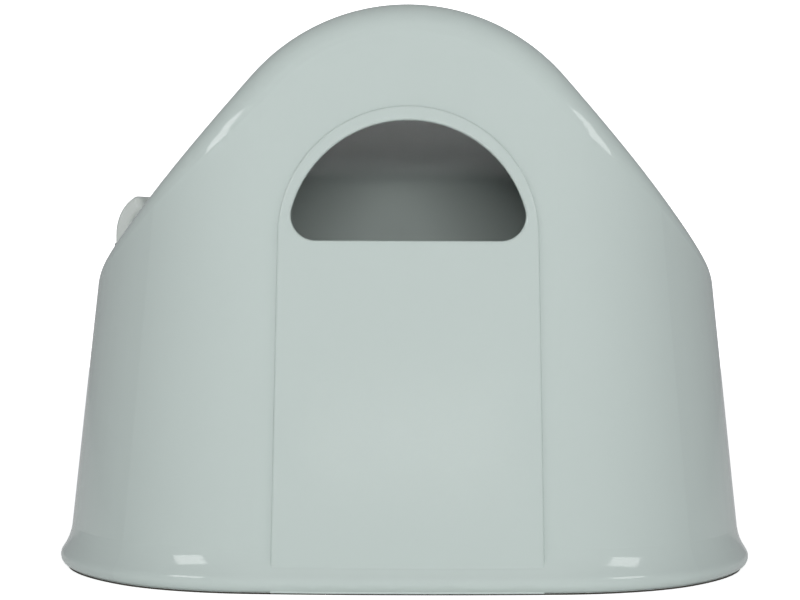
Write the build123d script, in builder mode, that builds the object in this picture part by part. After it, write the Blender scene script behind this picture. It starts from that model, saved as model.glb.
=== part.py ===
from build123d import *
import math
import os

os.makedirs("parts", exist_ok=True)

# A cat litter box under a full-height hood, in millimetres.
# The floor is z = 0, the entry faces -Y, and the origin is on the floor at the middle of the foot.
# The pan, its rim and the hood are separate mouldings: the hood stands on the floor around the pan.

# Hood: overall sizes
width = 640.0  # across the foot
depth = 530.0  # front to back of the foot
height = 503.0  # floor to crown
wall = 3.0
draft = 6.0  # lean of the side walls, in degrees
strip_height = 1.4
strip_out = 0.0
strip_step = 3.0  # strip's inner edge outside the foot's inward lip
strip_lengths = 12
strip_joint = 0.8
overlap = 1.0  # how far a cut or a joined piece runs past a face
press_gap = 0.1  # under screw heads and nuts
close_to = 0.001  # for comparing levels and directions
cut_reach = 30.0  # how far a window's cut runs to each side of the wall

# Hood: plan of the walls, as arcs that meet tangent
front_radius = 1500.0
corner_radius = 168.0
corner_inset = 197.4  # centre of the corner arc in from the widest point of the wall

# Hood: roof section
crown_radius = 180.0
roof_slope = 49.0  # turn of the crown arc down to the straight slope, in degrees
shoulder_radius = 92.0
shoulder_proud = 3.0  # how far the shoulder would stand outside the wall
edge_round = 28.0

# Hood: rolled foot
foot_out = 6.5  # foot beyond the wall's outline on the floor
bead_radius = 9.0
bead_turn = 36.0  # where the flare leaves the bead, in degrees above level
flare_meet = 1.5  # angle at which the flare runs into the wall
foot_return = 12.0  # inward lip under the wall
return_height = 5.0

# Hood: entry and the raised panel around it
entry_radius = 103.0
entry_corner = 21.5
entry_sill = 297.5  # sill above the floor
entry_edge_round = 2.0
panel_margin = 8.5
panel_rise = 4.0  # centre of the panel's arch above the sill
panel_splay = 4.0  # how much wider each side of the panel is at the floor
panel_raise = 3.0
panel_edge_round = 2.0

# Pan and its rim
pan_wall = 3.0
pan_height = 110.0
pan_gap = 35.0  # pan lip inside the hood's floor outline
lip_width = 8.0
lip_height = 3.0
pan_lean = 7.0
foot_height = 4.0
pan_foot_radius = 14.0
pan_foot_inset = 70.0
rim_height = 34.0
rim_lean = 28.0
rim_wall = 2.5
rim_skirt = 12.0
seal_height = 1.5
seal_margin = 1.0
slide_gap = 0.5
spacer_width = 24.0
spacer_height = 58.0
spacer_sill = 60.0
spacer_spread = 107.0  # front and back spacers from the middle

# Carry handle in its dish
dish_length = 136.0
dish_width = 96.0
dish_corner = 18.0
dish_wall = 3.5
dish_drop = 55.0  # crown to the underside of the dish
dish_shift = 10.0  # dish centre behind the middle of the hood
bail_span = 120.0
bail_reach = 52.0
bail_bar = 10.0
grip_length = 74.0
grip_wall = 3.0
pin_radius = 3.0
pin_gap = 0.3
pin_shift = 25.0  # pins behind the dish's centre
pin_bite = 1.5  # pin beyond the arm's inner face
washer_out = 2.0
washer_gap = 0.6
grip_round = 1.0
pin_drop = 22.0  # crown to the bail's pins

# Filter window in the back wall
window_width = 110.0
window_height = 70.0
window_corner = 8.0
window_level = 235.0
frame_border = 14.0
frame_thickness = 3.0
sleeve_wall = 3.0
sleeve_depth = 18.0
ledge = 6.0
filter_thickness = 10.0
filter_gap = 0.3
cover_margin = 5.0
cover_thickness = 3.0
cover_slots = 6
slot_height = 4.5
knuckle_radius = 4.0
knuckle_length = 36.0
lug_length = 8.0
hinge_pin_radius = 1.6
hinge_drop = 8.5
hinge_gap = 0.2
knob_radius = 7.0
knob_height = 7.0
knob_margin = 1.0
knob_flare = 6.0
knob_round = 2.0
screw_radius = 2.0
screw_head_radius = 4.0
screw_head_height = 1.6

# Scoop and its bracket on the left wall
scoop_turn = 58.5  # from straight back towards the left, in degrees
scoop_width = 84.0
scoop_depth = 24.0
scoop_wall = 2.5
scoop_low = 85.0
scoop_blade = 120.0
scoop_inset = 9.8  # nearest face of the blade inside the wall's floor outline
scoop_slots = 7
scoop_slot_width = 4.5
scoop_slot_length = 86.0
scoop_slot_rise = 55.0  # middle of the slots above the blade's tip
scoop_round = 2.0
collar_height = 5.0
collar_out = 2.5
handle_out = 17.0  # middle of the handle out from the blade's nearest face
handle_wide = 30.0
handle_thick = 18.0
handle_drop = 194.0  # crown to the start of the handle's bend
handle_bend_radius = 32.0
handle_bend = 66.0
handle_hook = 5.0
sleeve_low = 225.0
sleeve_high = 300.0
sleeve_thick = 1.5
bracket_height = 50.0
bracket_wall = 3.0
bracket_window = 60.0  # opening across the bracket's face
bracket_screw_turn = 5.0
nut_radius = 4.5
nut_height = 3.0


def rise(angle):
    """The slope of a line that leans by this many degrees from upright."""
    return math.tan(math.radians(angle))


def turned(angle):
    """A unit vector in a sketch, this many degrees above its x axis."""
    return Vector(math.cos(math.radians(angle)), math.sin(math.radians(angle)))


def from_front(centre, radius, angle):
    """A plan point on an arc, this many degrees round from the front towards the right."""
    step = Vector(math.sin(math.radians(angle)), -math.cos(math.radians(angle)))
    return centre + step * radius


dish_floor = height - dish_drop
pin_level = height - pin_drop
half_width = width / 2 - foot_out
half_depth = depth / 2 - foot_out

# The front arc, the corner arc and the side arc meet tangent, and the side arc is square to the X axis.
front_centre = Vector(0, front_radius - half_depth)
front_arc_angle = math.degrees(math.asin((half_width - corner_inset) / (front_radius - corner_radius)))
corner_centre = from_front(front_centre, front_radius - corner_radius, front_arc_angle)
side_offset = corner_inset - corner_radius
corner_arc_end = 2 * math.degrees(math.atan2(-corner_centre.Y, side_offset)) - 90
side_radius = corner_radius - corner_centre.Y / math.cos(math.radians(corner_arc_end))
side_centre = from_front(corner_centre, corner_radius - side_radius, corner_arc_end)


def plan_outline(inset, level=0.0):
    """The wall's outline on the floor, moved inwards, as a sketch at a level."""
    with BuildSketch(Plane.XY.offset(level), mode=Mode.PRIVATE) as outline:
        with BuildLine():
            front = front_radius - inset
            corner = corner_radius - inset
            side = side_radius - inset
            front_arc = ThreePointArc(
                from_front(front_centre, front, 0),
                from_front(front_centre, front, front_arc_angle / 2),
                from_front(front_centre, front, front_arc_angle),
            )
            corner_arc = ThreePointArc(
                front_arc @ 1,
                from_front(corner_centre, corner, (front_arc_angle + corner_arc_end) / 2),
                from_front(corner_centre, corner, corner_arc_end),
            )
            ThreePointArc(
                corner_arc @ 1,
                from_front(side_centre, side, (corner_arc_end + 90) / 2),
                from_front(side_centre, side, 90),
            )
            mirror(about=Plane.XZ)
            mirror(about=Plane.YZ)
        make_face()
    return outline.sketch


def roof_section(inset):
    """The hood's section across its width: crown arc, straight slopes and rounded shoulders."""
    crown_centre = Vector(0, height - crown_radius)
    slope_normal = turned(90 - roof_slope)
    wall_normal = turned(draft)
    slope_reach = crown_radius - shoulder_radius + crown_centre.dot(slope_normal)
    wall_reach = half_width * math.cos(math.radians(draft)) - shoulder_radius + shoulder_proud
    cross = slope_normal.X * wall_normal.Y - wall_normal.X * slope_normal.Y
    shoulder_centre = Vector(
        (slope_reach * wall_normal.Y - wall_reach * slope_normal.Y) / cross,
        (slope_normal.X * wall_reach - wall_normal.X * slope_reach) / cross,
    )
    crown = crown_radius - inset
    shoulder = shoulder_radius - inset
    middle_turn = (90 - roof_slope + draft) / 2
    with BuildSketch(Plane.XZ, mode=Mode.PRIVATE) as section:
        with BuildLine():
            crown_arc = ThreePointArc(
                crown_centre + Vector(0, crown),
                crown_centre + turned(90 - roof_slope / 2) * crown,
                crown_centre + slope_normal * crown,
            )
            slope_line = Line(crown_arc @ 1, shoulder_centre + slope_normal * shoulder)
            shoulder_arc = ThreePointArc(
                slope_line @ 1,
                shoulder_centre + turned(middle_turn) * shoulder,
                shoulder_centre + wall_normal * shoulder,
            )
            side_line = Line(
                shoulder_arc @ 1,
                (shoulder_arc @ 1) + Vector(wall_normal.Y, -wall_normal.X) * height,
            )
            Line(side_line @ 1, (0, (side_line @ 1).Y))
            mirror(about=Plane.YZ)
        make_face()
    return section.sketch


def hood_solid(inset):
    """The hood as a filled solid, with every face moved inwards."""
    with BuildPart(mode=Mode.PRIVATE) as solid:
        extrude(to_extrude=plan_outline(inset), amount=height + edge_round, taper=draft)
        extrude(to_extrude=roof_section(inset), amount=depth, both=True, mode=Mode.INTERSECT)
        across = solid.faces().filter_by(lambda f: f.geom_type != GeomType.CONE)
        upper = across.filter_by(lambda f: f.center().Z > strip_height)
        roof = upper.filter_by(lambda f: abs(f.normal_at().Y) < close_to)
        shared = [edge for face in roof for edge in face.edges()]
        outer = [edge for edge in shared if shared.count(edge) == 1]
        fillet(outer, edge_round - inset)
    return solid.part


def plan_ring(outer, inner, low, high):
    """An upright ring that follows the plan outline between two insets."""
    with BuildPart(mode=Mode.PRIVATE) as ring:
        extrude(to_extrude=plan_outline(outer, low), amount=high - low)
        extrude(to_extrude=plan_outline(inner, low), amount=high - low, mode=Mode.SUBTRACT)
    return ring.part


def rounded_block(plane, size_x, size_y, corner, low, high):
    """A block with rounded corners, standing on a plane."""
    with BuildPart(mode=Mode.PRIVATE) as block:
        with BuildSketch(plane.offset(low)):
            RectangleRounded(size_x, size_y, corner)
        extrude(amount=high - low)
    return block.part


def side_direction(turn):
    """The level outward direction, this many degrees round from the back towards the left."""
    return Vector(-math.sin(math.radians(turn)), math.cos(math.radians(turn)), 0)


def left_wall_plane(turn, level):
    """A plane on the left wall's outer face, with its z axis square to the wall."""
    out = side_direction(turn)
    origin = Vector(-side_centre.X, 0, level) + out * (side_radius - level * rise(draft))
    lean = math.radians(draft)
    normal = out * math.cos(lean) + Vector(0, 0, math.sin(lean))
    return Plane(origin=origin, x_dir=out.cross(Vector(0, 0, 1)), z_dir=normal)


def is_entry_mouth(edge):
    """Whether an edge of the hood runs round the entry on the panel's outer face."""
    middle = edge.position_at(0.5)
    from_sill = Vector(middle.X, middle.Z - entry_sill)
    in_entry = from_sill.length < entry_radius + overlap and middle.Z > entry_sill - overlap
    return in_entry and middle.Y < 0 and not outer_solid.is_inside(middle)


# ---------------------------------------------------------------- hood

outer_solid = hood_solid(0)
inner_solid = hood_solid(wall)
raised_solid = hood_solid(-panel_raise)

# The rolled foot: a bead on the floor that flares smoothly up into the wall.
bead_centre = Vector(foot_out - bead_radius, strip_height + bead_radius)
flare_start = bead_centre + turned(bead_turn) * bead_radius
flare_gap = flare_start.X + flare_start.Y * rise(draft)
meet_angle = draft + flare_meet
flare_in = math.cos(math.radians(meet_angle)) - math.cos(math.radians(bead_turn))
flare_up = math.sin(math.radians(bead_turn)) - math.sin(math.radians(meet_angle))
flare_radius = flare_gap / (flare_in - flare_up * rise(draft))
flare_centre = flare_start + turned(bead_turn) * flare_radius
flare_top = flare_centre - turned(meet_angle) * flare_radius
mid_wall = wall / 2

with BuildPart() as rolled_foot:
    with BuildSketch(Plane(origin=(0, -half_depth, 0), x_dir=(0, -1, 0), z_dir=(-1, 0, 0))):
        with BuildLine():
            bead_arc = ThreePointArc(
                bead_centre - Vector(0, bead_radius),
                bead_centre + turned((bead_turn - 90) / 2) * bead_radius,
                flare_start,
            )
            flare_arc = ThreePointArc(
                bead_arc @ 1,
                flare_centre - turned((bead_turn + meet_angle) / 2) * flare_radius,
                flare_top,
            )
            Polyline(
                flare_top,
                (-flare_top.Y * rise(draft) - mid_wall, flare_top.Y + mid_wall),
                (-flare_start.Y * rise(draft) - mid_wall, flare_start.Y),
                (-foot_return, strip_height + return_height),
                (-foot_return, strip_height),
                bead_arc @ 0,
            )
        make_face()
    sweep(path=plan_outline(0).wire())

with BuildSketch(Plane.XZ) as entry_outline:
    with Locations((0, entry_sill)):
        Circle(entry_radius)
        Rectangle(2 * entry_radius, entry_radius, align=(Align.CENTER, Align.MAX), mode=Mode.SUBTRACT)
    fillet(entry_outline.vertices(), entry_corner)

panel_radius = entry_radius + panel_margin
arch_level = entry_sill + panel_rise
with BuildSketch(Plane.XZ) as panel_outline:
    with Locations((0, arch_level)):
        Circle(panel_radius)
    with BuildLine():
        Polyline(
            (-panel_radius, arch_level),
            (-panel_radius - panel_splay, 0),
            (panel_radius + panel_splay, 0),
            (panel_radius, arch_level),
            close=True,
        )
    make_face()

with BuildPart() as panel:
    extrude(to_extrude=panel_outline.sketch, amount=depth)
    add(raised_solid, mode=Mode.INTERSECT)
    front_face = panel.faces().sort_by(Axis.Y)[0]
    fillet(front_face.edges().filter_by(lambda e: e.center().Z > strip_height), panel_edge_round)

back_wall_plane = Plane(
    origin=(0, half_depth - window_level * rise(draft), window_level),
    x_dir=(-1, 0, 0),
    z_dir=(0, math.cos(math.radians(draft)), math.sin(math.radians(draft))),
)
dish_plane = Plane(origin=(0, dish_shift, 0))
window_block = rounded_block(
    back_wall_plane,
    window_width,
    window_height,
    window_corner,
    -cut_reach,
    cut_reach,
)
dish_block = rounded_block(dish_plane, dish_length, dish_width, dish_corner, dish_floor, height)

scoop_out = side_direction(scoop_turn)
scoop_along = scoop_out.cross(Vector(0, 0, 1))
scoop_origin = Vector(-side_centre.X, 0, 0)
scoop_plane = Plane(origin=scoop_origin, x_dir=scoop_along, z_dir=(0, 0, 1))
scoop_section = Plane(origin=scoop_origin, x_dir=scoop_out, z_dir=scoop_along)
bracket_low = scoop_low + scoop_blade - collar_height - bracket_height
screw_level = bracket_low + bracket_height / 2
bracket_screw_planes = [
    left_wall_plane(scoop_turn + turn, screw_level) for turn in (-bracket_screw_turn, bracket_screw_turn)
]
frame_screw_x = window_width / 2 + frame_border / 2
frame_screw_y = window_height / 2 - frame_border
frame_screw_places = [
    (side * frame_screw_x, step * frame_screw_y) for side in (-1, 1) for step in (-1, 1)
]
wall_sag = (frame_screw_x - screw_head_radius) ** 2 / (2 * front_radius)

with BuildPart() as hood_shell:
    add(outer_solid)
    add(panel.part)
    add(inner_solid, mode=Mode.SUBTRACT)
    with BuildSketch(Plane.XY):
        Rectangle(width, depth)
    extrude(amount=strip_height, mode=Mode.SUBTRACT)
    add(rolled_foot.part)
    extrude(to_extrude=entry_outline.sketch, amount=depth, mode=Mode.SUBTRACT)
    add(window_block, mode=Mode.SUBTRACT)
    add(dish_block, mode=Mode.SUBTRACT)
    for plane in bracket_screw_planes:
        with BuildSketch(plane.offset(wall * 2)):
            Circle(screw_radius)
        extrude(amount=-wall * 4, mode=Mode.SUBTRACT)
    with BuildSketch(back_wall_plane.offset(wall * 2)):
        with Locations(*frame_screw_places):
            Circle(screw_radius)
    extrude(amount=-wall * 4, mode=Mode.SUBTRACT)
    entry_mouth = hood_shell.edges().filter_by(is_entry_mouth)
    fillet(entry_mouth, entry_edge_round)
hood_shell.part.label = "hood_shell"
export_step(hood_shell.part, "parts/hood_shell.step")

# The dark non-slip strip under the foot, in lengths laid end to end.
with BuildPart() as base_strip:
    add(plan_ring(-strip_out, foot_return - strip_step, 0, strip_height))
    with BuildSketch(Plane.XY):
        with PolarLocations(0, strip_lengths, start_angle=180 / strip_lengths):
            Rectangle(width, strip_joint, align=(Align.MIN, Align.CENTER))
    extrude(amount=strip_height, mode=Mode.SUBTRACT)
base_strip.part.label = "base_strip"
export_step(base_strip.part, "parts/base_strip.step")

# Upright spacers inside the walls keep the hood central on the pan's rim.
rim_inset = pan_gap - slide_gap - rim_wall
spacer_inset = rim_inset - slide_gap
with BuildPart() as hood_spacers:
    with BuildSketch(Plane.XY.offset(spacer_sill)):
        Rectangle(width, spacer_width)
        with Locations((-spacer_spread, 0), (spacer_spread, 0)):
            Rectangle(spacer_width, depth)
    extrude(amount=spacer_height)
    add(inner_solid, mode=Mode.INTERSECT)
    extrude(to_extrude=plan_outline(spacer_inset, spacer_sill), amount=spacer_height, mode=Mode.SUBTRACT)
hood_spacers.part.label = "hood_spacers"
export_step(hood_spacers.part, "parts/hood_spacers.step")

# ---------------------------------------------------------------- pan and rim

pan_top_inset = pan_gap + lip_width
pan_floor_inset = pan_top_inset + (pan_height - foot_height) * rise(pan_lean)
with BuildPart() as litter_pan:
    extrude(
        to_extrude=plan_outline(pan_floor_inset, foot_height),
        amount=pan_height - foot_height,
        taper=-pan_lean,
    )
    floor_edges = litter_pan.edges().group_by(Axis.Z)[0]
    fillet(floor_edges, pan_wall * 2)
    add(plan_ring(pan_gap, pan_top_inset + pan_wall / 2, pan_height - lip_height, pan_height))
    extrude(
        to_extrude=plan_outline(pan_floor_inset + pan_wall, foot_height + pan_wall),
        amount=pan_height,
        taper=-pan_lean,
        mode=Mode.SUBTRACT,
    )
litter_pan.part.label = "litter_pan"
export_step(litter_pan.part, "parts/litter_pan.step")

pan_foot_x = half_width - pan_floor_inset - pan_foot_inset
pan_foot_y = half_depth - pan_floor_inset - pan_foot_inset
with BuildPart() as pan_feet:
    with BuildSketch(Plane.XY):
        with GridLocations(2 * pan_foot_x, 2 * pan_foot_y, 2, 2):
            Circle(pan_foot_radius)
    extrude(amount=foot_height)
    fillet(pan_feet.edges().group_by(Axis.Z)[0], foot_height / 4)
pan_feet.part.label = "pan_feet"
export_step(pan_feet.part, "parts/pan_feet.step")

rim_low = pan_height + seal_height
with BuildPart() as rim_seal:
    add(plan_ring(pan_gap + seal_margin, pan_top_inset - seal_margin, pan_height, rim_low))
rim_seal.part.label = "rim_seal"
export_step(rim_seal.part, "parts/rim_seal.step")

rim_throat = pan_top_inset - seal_margin
with BuildPart() as scatter_rim:
    extrude(to_extrude=plan_outline(rim_throat, rim_low), amount=rim_wall + rim_height, taper=rim_lean)
    extrude(
        to_extrude=plan_outline(rim_throat + rim_wall / math.cos(math.radians(rim_lean)), rim_low),
        amount=rim_wall + rim_height,
        taper=rim_lean,
        mode=Mode.SUBTRACT,
    )
    add(plan_ring(rim_inset, rim_throat + rim_wall, rim_low, rim_low + rim_wall))
    add(plan_ring(rim_inset, rim_inset + rim_wall, rim_low + rim_wall - rim_skirt, rim_low + rim_wall))
    outer_rim = scatter_rim.edges().filter_by(lambda e: e.center().Z > rim_low + rim_wall - close_to)
    lip_edges = outer_rim.group_by(Axis.Z)[-1]
    fillet(lip_edges, rim_wall / 3)
scatter_rim.part.label = "scatter_rim"
export_step(scatter_rim.part, "parts/scatter_rim.step")

# ---------------------------------------------------------------- carry handle

pin_line = dish_shift + pin_shift
arm_inner = bail_span / 2 - bail_bar
pocket_half = dish_length / 2 - dish_wall
pin_end = pocket_half + dish_wall * 2 / 3
pin_plane = Plane(origin=(0, pin_line, pin_level), x_dir=(0, 1, 0), z_dir=(1, 0, 0))
pocket_block = rounded_block(
    dish_plane,
    dish_length - 2 * dish_wall,
    dish_width - 2 * dish_wall,
    dish_corner - dish_wall,
    dish_floor + dish_wall,
    height + wall,
)
with BuildPart() as handle_dish:
    add(dish_block)
    add(outer_solid, mode=Mode.INTERSECT)
    add(pocket_block, mode=Mode.SUBTRACT)
    with BuildSketch(pin_plane.offset(-pin_end)):
        Circle(pin_radius)
    extrude(amount=2 * pin_end, mode=Mode.SUBTRACT)
handle_dish.part.label = "handle_dish"
export_step(handle_dish.part, "parts/handle_dish.step")

pin_start = arm_inner - pin_bite
washer_start = bail_span / 2 + washer_gap
with BuildPart() as handle_pins:
    for side in (-1, 1):
        with BuildSketch(pin_plane.offset(side * pin_start)):
            Circle(pin_radius)
        extrude(amount=side * (pin_end - pin_start))
        with BuildSketch(pin_plane.offset(side * washer_start)):
            Circle(pin_radius + washer_out)
        extrude(amount=side * (pocket_half - washer_start))
handle_pins.part.label = "handle_pins"
export_step(handle_pins.part, "parts/handle_pins.step")

bail_front = pin_line - bail_reach
with BuildPart() as carry_handle:
    with BuildSketch(Plane.XY.offset(pin_level - bail_bar / 2)) as bail_outline:
        with BuildLine():
            bail_path = FilletPolyline(
                (-bail_span / 2 + bail_bar / 2, pin_line),
                (-bail_span / 2 + bail_bar / 2, bail_front),
                (bail_span / 2 - bail_bar / 2, bail_front),
                (bail_span / 2 - bail_bar / 2, pin_line),
                radius=bail_bar,
            )
            offset(bail_path, amount=bail_bar / 2, kind=Kind.ARC, side=Side.BOTH)
        make_face()
    extrude(amount=bail_bar)
    fillet(carry_handle.edges().filter_by(Plane.XY), bail_bar / 5)
    with BuildSketch(pin_plane.offset(-bail_span / 2)):
        Circle(pin_radius + pin_gap)
    extrude(amount=bail_span, mode=Mode.SUBTRACT)
carry_handle.part.label = "carry_handle"
export_step(carry_handle.part, "parts/carry_handle.step")

grip_plane = Plane(origin=(-grip_length / 2, bail_front, pin_level), x_dir=(0, 1, 0), z_dir=(1, 0, 0))
with BuildPart() as handle_grip:
    with BuildSketch(grip_plane):
        RectangleRounded(bail_bar + 2 * grip_wall, bail_bar + 2 * grip_wall, bail_bar / 5 + grip_wall)
    extrude(amount=grip_length)
    grip_ends = handle_grip.edges().group_by(Axis.X)
    fillet(grip_ends[0] + grip_ends[-1], grip_round)
    add(carry_handle.part, mode=Mode.SUBTRACT)
handle_grip.part.label = "handle_grip"
export_step(handle_grip.part, "parts/handle_grip.step")

# ---------------------------------------------------------------- filter window

flange_block = rounded_block(
    back_wall_plane,
    window_width + 2 * frame_border,
    window_height + 2 * frame_border,
    window_corner + frame_border / 2,
    -cut_reach,
    cut_reach,
)
proud_solid = hood_solid(-frame_thickness)
opening_x = window_width - 2 * sleeve_wall
opening_y = window_height - 2 * sleeve_wall
hinge_y = -window_height / 2 - hinge_drop
hinge_stand = frame_thickness + knuckle_radius + slide_gap
cover_stand = hinge_stand - cover_thickness / 2
lug_start = knuckle_length / 2 + slide_gap
hinge_plane = Plane(
    origin=back_wall_plane.from_local_coords(Vector(0, hinge_y, hinge_stand)),
    x_dir=back_wall_plane.y_dir,
    z_dir=-back_wall_plane.x_dir,
)
lug_radius = knuckle_radius + 1

with BuildPart() as vent_frame:
    add(flange_block)
    add(proud_solid, mode=Mode.INTERSECT)
    add(outer_solid, mode=Mode.SUBTRACT)
    with BuildSketch(back_wall_plane.offset(-sleeve_depth)):
        RectangleRounded(window_width, window_height, window_corner)
    extrude(amount=sleeve_depth + frame_thickness / 2)
    with BuildSketch(back_wall_plane.offset(-sleeve_depth + sleeve_wall)):
        RectangleRounded(opening_x, opening_y, window_corner - sleeve_wall)
    extrude(amount=sleeve_depth + frame_thickness, mode=Mode.SUBTRACT)
    with BuildSketch(back_wall_plane.offset(-sleeve_depth)):
        RectangleRounded(opening_x - 2 * ledge, opening_y - 2 * ledge, window_corner - sleeve_wall)
    extrude(amount=sleeve_wall, mode=Mode.SUBTRACT)
    for side in (-1, 1):
        with BuildSketch(hinge_plane.offset(side * lug_start)):
            Circle(lug_radius)
            Rectangle(2 * lug_radius, hinge_stand - overlap, align=(Align.CENTER, Align.MIN))
        extrude(amount=side * lug_length)
    with BuildSketch(hinge_plane.offset(-lug_start - lug_length)):
        Circle(hinge_pin_radius)
    extrude(amount=2 * (lug_start + lug_length), mode=Mode.SUBTRACT)
    with BuildSketch(back_wall_plane.offset(wall * 3)):
        with Locations(*frame_screw_places):
            Circle(screw_radius)
    extrude(amount=-wall * 6, mode=Mode.SUBTRACT)
vent_frame.part.label = "vent_frame"
export_step(vent_frame.part, "parts/vent_frame.step")

with BuildPart() as carbon_filter:
    with BuildSketch(back_wall_plane.offset(-sleeve_depth + sleeve_wall)):
        RectangleRounded(
            opening_x - 2 * filter_gap,
            opening_y - 2 * filter_gap,
            window_corner - sleeve_wall - filter_gap,
        )
    extrude(amount=filter_thickness)
carbon_filter.part.label = "carbon_filter"
export_step(carbon_filter.part, "parts/carbon_filter.step")

cover_x = window_width + 2 * cover_margin
cover_y = window_height + 2 * cover_margin
knob_y = cover_y / 2 - knob_radius - knob_margin
slot_step = (cover_y - 4 * knob_radius) / cover_slots
with BuildPart() as filter_cover:
    with BuildSketch(back_wall_plane.offset(cover_stand)):
        with Locations((0, cover_margin / 4)):
            RectangleRounded(cover_x, cover_y - cover_margin / 2, window_corner + cover_margin)
    extrude(amount=cover_thickness)
    fillet(filter_cover.edges(), cover_thickness / 5)
    with BuildSketch(hinge_plane.offset(-knuckle_length / 2)):
        Circle(knuckle_radius)
        Rectangle(hinge_drop, cover_thickness, align=(Align.MIN, Align.CENTER))
    extrude(amount=knuckle_length)
    with BuildSketch(hinge_plane.offset(-knuckle_length / 2)):
        Circle(hinge_pin_radius + hinge_gap)
    extrude(amount=knuckle_length, mode=Mode.SUBTRACT)
    with BuildSketch(back_wall_plane.offset(cover_stand - overlap)):
        with Locations((0, -knob_radius)):
            with GridLocations(0, slot_step, 1, cover_slots):
                SlotOverall(opening_x - 2 * ledge, slot_height)
        with Locations((0, knob_y)):
            Circle(screw_radius)
    extrude(amount=cover_thickness + 2 * overlap, mode=Mode.SUBTRACT)
filter_cover.part.label = "filter_cover"
export_step(filter_cover.part, "parts/filter_cover.step")

with BuildPart() as cover_pin:
    with BuildSketch(hinge_plane.offset(-lug_start - lug_length)):
        Circle(hinge_pin_radius)
    extrude(amount=2 * (lug_start + lug_length))
cover_pin.part.label = "cover_pin"
export_step(cover_pin.part, "parts/cover_pin.step")

with BuildPart() as cover_knob:
    with BuildSketch(back_wall_plane.offset(cover_stand)):
        with Locations((0, knob_y)):
            Circle(screw_radius)
    extrude(amount=cover_thickness + overlap)
    with BuildSketch(back_wall_plane.offset(cover_stand + cover_thickness)):
        with Locations((0, knob_y)):
            Circle(knob_radius)
    extrude(amount=knob_height, taper=-knob_flare)
    fillet(cover_knob.edges().sort_by(Axis.Y)[-1], knob_round)
cover_knob.part.label = "cover_knob"
export_step(cover_knob.part, "parts/cover_knob.step")

screw_seat = frame_thickness - wall_sag + press_gap
with BuildPart() as frame_screws:
    with BuildSketch(back_wall_plane.offset(screw_seat)):
        with Locations(*frame_screw_places):
            Circle(screw_head_radius)
    extrude(amount=screw_head_height)
    fillet(frame_screws.edges().group_by(Axis.Y)[-1], screw_head_height / 3)
    with BuildSketch(back_wall_plane.offset(screw_seat + screw_head_height / 2)):
        with Locations(*frame_screw_places):
            Circle(screw_radius)
    extrude(amount=-frame_thickness - wall * 2)
frame_screws.part.label = "frame_screws"
export_step(frame_screws.part, "parts/frame_screws.step")

# ---------------------------------------------------------------- scoop and bracket

scoop_high = scoop_low + scoop_blade
scoop_stand = side_radius - scoop_inset
handle_stand = scoop_stand + handle_out
handle_bend_level = height - handle_drop
blade_middle = scoop_stand + scoop_depth / 2
pocket_x = scoop_width / 2 + slide_gap
pocket_out = scoop_stand + scoop_depth + slide_gap
bracket_solid = hood_solid(-bracket_wall)
with BuildPart() as pocket_space:
    with BuildSketch(scoop_plane.offset(bracket_low - overlap)):
        with Locations((0, side_radius / 2)):
            Rectangle(2 * pocket_x, pocket_out - side_radius / 2, align=(Align.CENTER, Align.MIN))
    extrude(amount=bracket_height + 2 * overlap)
    add(bracket_solid, mode=Mode.SUBTRACT)

with BuildPart() as scoop_bracket:
    with BuildSketch(scoop_plane.offset(bracket_low)):
        with Locations((0, side_radius / 2)):
            Rectangle(
                2 * (pocket_x + bracket_wall),
                pocket_out + bracket_wall - side_radius / 2,
                align=(Align.CENTER, Align.MIN),
            )
    extrude(amount=bracket_height)
    fillet(scoop_bracket.edges().filter_by(Axis.Z).sort_by(Axis.X)[:2], bracket_wall)
    add(outer_solid, mode=Mode.SUBTRACT)
    add(pocket_space.part, mode=Mode.SUBTRACT)
    with BuildSketch(scoop_section.offset(-bracket_window / 2)):
        with Locations((pocket_out, bracket_low + bracket_height / 2)):
            RectangleRounded(bracket_wall * 4, bracket_height / 2, bracket_wall)
    extrude(amount=bracket_window, mode=Mode.SUBTRACT)
    for plane in bracket_screw_planes:
        with BuildSketch(plane.offset(wall * 2)):
            Circle(screw_radius)
        extrude(amount=-wall * 4, mode=Mode.SUBTRACT)
scoop_bracket.part.label = "scoop_bracket"
export_step(scoop_bracket.part, "parts/scoop_bracket.step")

with BuildPart() as bracket_screws:
    for plane in bracket_screw_planes:
        with BuildSketch(plane.offset(bracket_wall + press_gap)):
            Circle(screw_head_radius)
        extrude(amount=screw_head_height)
        with BuildSketch(plane.offset(bracket_wall + screw_head_height / 2)):
            Circle(screw_radius)
        extrude(amount=-bracket_wall - wall - nut_height - overlap)
bracket_screws.part.label = "bracket_screws"
export_step(bracket_screws.part, "parts/bracket_screws.step")

with BuildPart() as bracket_nuts:
    for plane in bracket_screw_planes:
        with BuildSketch(plane.offset(-wall - press_gap)):
            RegularPolygon(nut_radius, 6)
            Circle(screw_radius, mode=Mode.SUBTRACT)
        extrude(amount=-nut_height)
bracket_nuts.part.label = "bracket_nuts"
export_step(bracket_nuts.part, "parts/bracket_nuts.step")

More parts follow.
